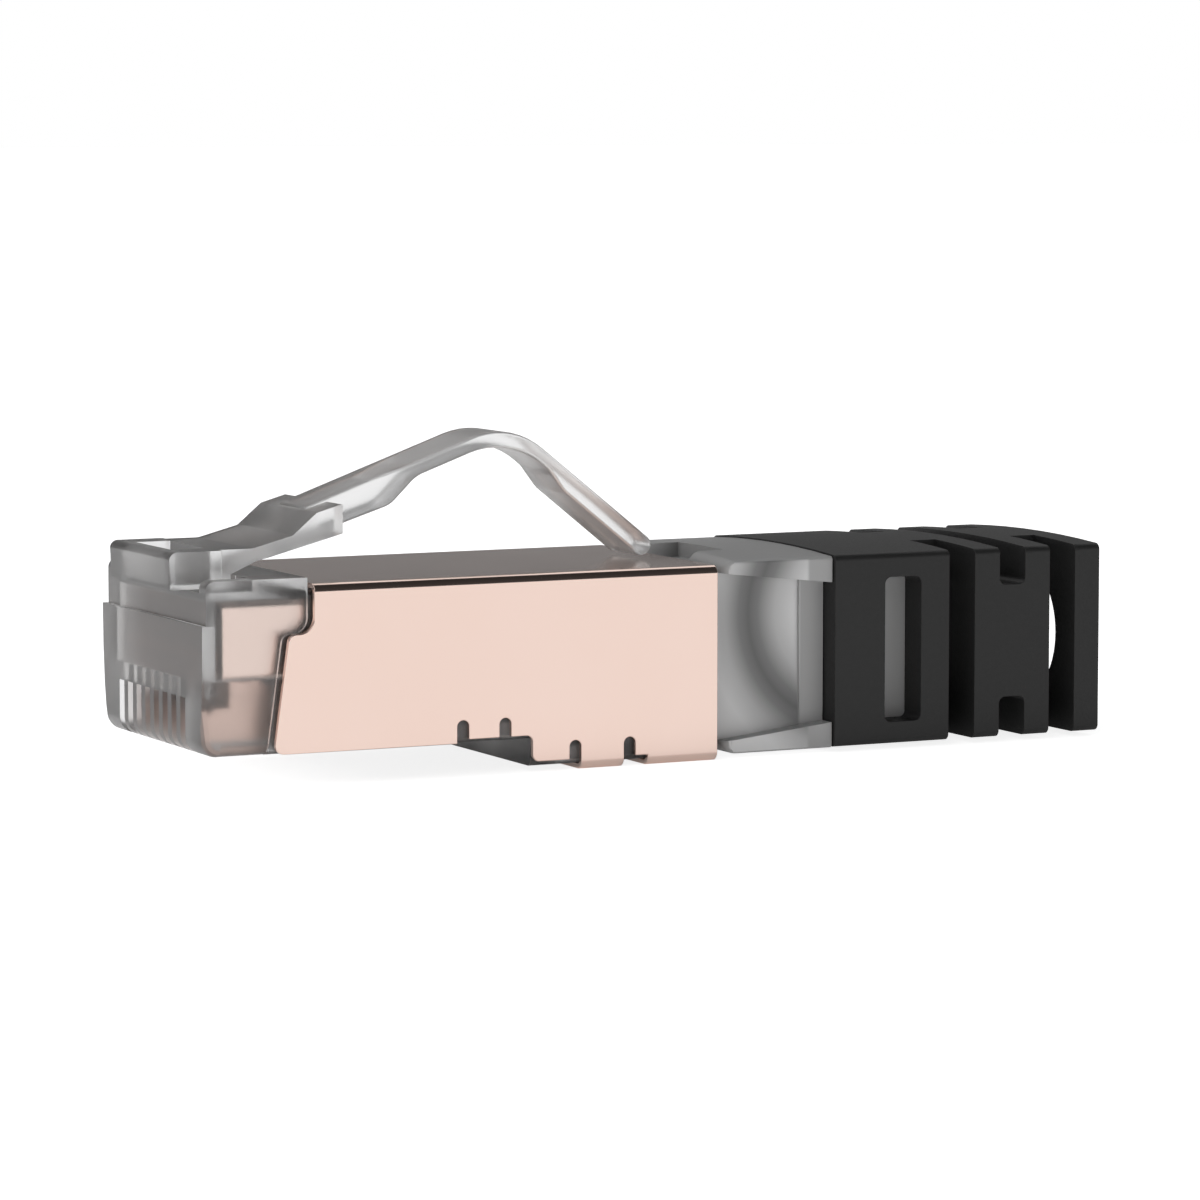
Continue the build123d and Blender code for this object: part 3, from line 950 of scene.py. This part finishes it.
handle = prism(
    "handle",
    softened(
        [
            (6.49, 10.02, 0),
            (16.264, 13.518, 3.70),
            on_tail(7.36, 0.46, 0.45),
            on_tail(7.36, -0.46, 0.45),
            on_tail(2.30, -0.56, 1.50),
            on_tail(1.10, -0.28, 1.00),
            (16.283, 12.806, 3.60),
            (11.80, 11.19, 1.60),
            (10.55, 9.99, 1.30),
            (7.00, 8.85, 0),
            (6.49, 9.20, 0),
        ]
    ),
    handle_half_width,
)
rounded(handle, handle_edge, segments=5)
print("handle:", len(handle.data.vertices), "points")

# %% [markdown]
# One solid of clear plastic
# The frame's housing still has its half of the root hinge, so two boxes first take the old
# root away. Its lower front is cut off too and comes back with the radii of the real nose,
# and the comb's slots are cut to their real width. Then the latch bars are fused on and the
# pocket is cut into the root block. The bevelled root block and new front go in as
# triangles, because the solver tears a mesh whose many-cornered faces aren't quite flat. The
# count of open edges tells whether the result is still one closed solid.

# %% Front of the nose and its slots
front_depth = 0.80
ledge = 5.57
nose_half_width = 5.84
nose_corner = 0.78
foot_radius = 0.50
slot_rear = 3.75
slot_top = 2.40
slot_half_width = 0.28
nose_ahead = -0.50
below_nose = -0.50

old_front = slab("old_front", (nose_ahead, front_depth), (below_nose, ledge), 6.20)
front_outline = [
    (0, ledge, 0),
    (0, 0, nose_corner),
    (front_depth, 0, 0),
    (front_depth, ledge, 0),
]
new_front = prism("new_front", softened(front_outline), nose_half_width)


def low_and_long(edge):
    """Whether an edge is an outside one at the nose's foot that runs along the plug."""
    first, second = (vert.co for vert in edge.verts)
    foot_high = nose_floor + nose_corner + 0.01
    return edge.is_convex and max(first.z, second.z) < foot_high and abs(first.y - second.y) < 0.01


bevelled(new_front, low_and_long, foot_radius, segments=4, triangles=True)
slot_cuts = []
for i in range(blade_count):
    cut = slab(
        f"slot_{i + 1}", (nose_ahead, slot_rear), (below_nose, slot_top), slot_half_width
    )
    slot_cuts.append(("DIFFERENCE", moved_to_way(cut, i)))
print("slots:", len(slot_cuts), "at", blade_pitch, "mm")

# %% Fuse the housing and the latch
above_root = 9.50
clear_edge = 0.07
old_root = slab("old_root", (-1.00, 2.43), (trough_floor, above_root), 3.60)
old_hinge = slab("old_hinge", (2.30, 4.40), (nose_height, above_root), 3.60)
pocket = slab("pocket", (0.12, 1.68), (7.04, above_root), 2.00)
clear_body = combined(
    millimetre_copy("clear_housing", "plug_housing"),
    ("DIFFERENCE", old_front),
    ("UNION", new_front),
    *slot_cuts,
    ("DIFFERENCE", old_root),
    ("DIFFERENCE", old_hinge),
    ("UNION", root_block),
    ("UNION", root_and_catch),
    ("UNION", handle),
    ("DIFFERENCE", pocket),
)
rounded(clear_body, clear_edge)
work = bmesh.new()
work.from_mesh(clear_body.data)
open_edges = sum(len(edge.link_faces) != 2 for edge in work.edges)
print("clear plastic:", len(work.verts), "points,", open_edges, "open edges,", end=" ")
print(round(work.calc_volume()), "mm3")
work.free()

# %% [markdown]
# Three pieces for two bends
# A blend bends a piece between two bodies, so the strip is cut into three at places that
# never bend: behind the root block and halfway up the handle. Each cut is open, and both
# sides share its points, so the clear plastic looks whole: a closed cut would mirror light
# inside the strip. More cuts, which divide nothing, give the bending places their points.

# %% Cuts across the strip
root_cut = 2.90
handle_cut = 12.00
root_bend = [3.00 + 0.15 * i for i in range(10)]
peak_bend = [16.30 + 0.14 * i for i in range(16)]
latch_floor = 7.50
rear_latch_floor = 7.20

work = bmesh.new()
work.from_mesh(clear_body.data)
bpy.data.objects.remove(clear_body)
for station in [root_cut, handle_cut] + root_bend + peak_bend:
    above = [f for f in work.faces if max(v.co.z for v in f.verts) > latch_floor + nose_floor]
    touched = dict.fromkeys(above)
    touched.update(dict.fromkeys(edge for face in above for edge in face.edges))
    touched.update(dict.fromkeys(vert for face in above for vert in face.verts))
    plane = {"plane_co": at(station, 0, 0) / MM, "plane_no": (1, 0, 0)}
    bmesh.ops.bisect_plane(work, geom=list(touched), dist=0.0001, **plane)


def owner(face):
    """Which of the three pieces a face belongs to."""
    middle = face.calc_center_median()
    station = middle.x - front_station
    floor_here = latch_floor if station < handle_cut / 2 else rear_latch_floor
    if station < root_cut or middle.z < floor_here + nose_floor:
        return "clear_housing"
    return "latch_front" if station < handle_cut else "latch_rear"


work.faces.index_update()
owners = [owner(face) for face in work.faces]
whole = bpy.data.meshes.new("whole")
work.to_mesh(whole)
work.free()
print("faces of the strip after the cuts:", len(owners))


# %% Three pieces, and the housing on the plug's body
def piece_of(name):
    """The faces of one piece as an object of its own."""
    part = bmesh.new()
    part.from_mesh(whole)
    others = [face for face, its_owner in zip(part.faces, owners) if its_owner != name]
    bmesh.ops.delete(part, geom=others, context="FACES")
    return finished(linked(name, part), clear_plastic, crease=20.0)


for name, node in (
    ("clear_housing", "plug_housing"),
    ("latch_front", "latch_arm"),
    ("latch_rear", "latch_tail"),
):
    piece = piece_of(name)
    if name == "clear_housing":
        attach(piece, "plug")
    elif name == "latch_front":
        at(2.95, 0, 8.3)
        at(4.25, 0, 8.4)
        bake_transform(piece)
    else:
        at(16.95, 0, 12.58)
        at(17.95, 0, 11.82)
        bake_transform(piece)
    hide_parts(node)
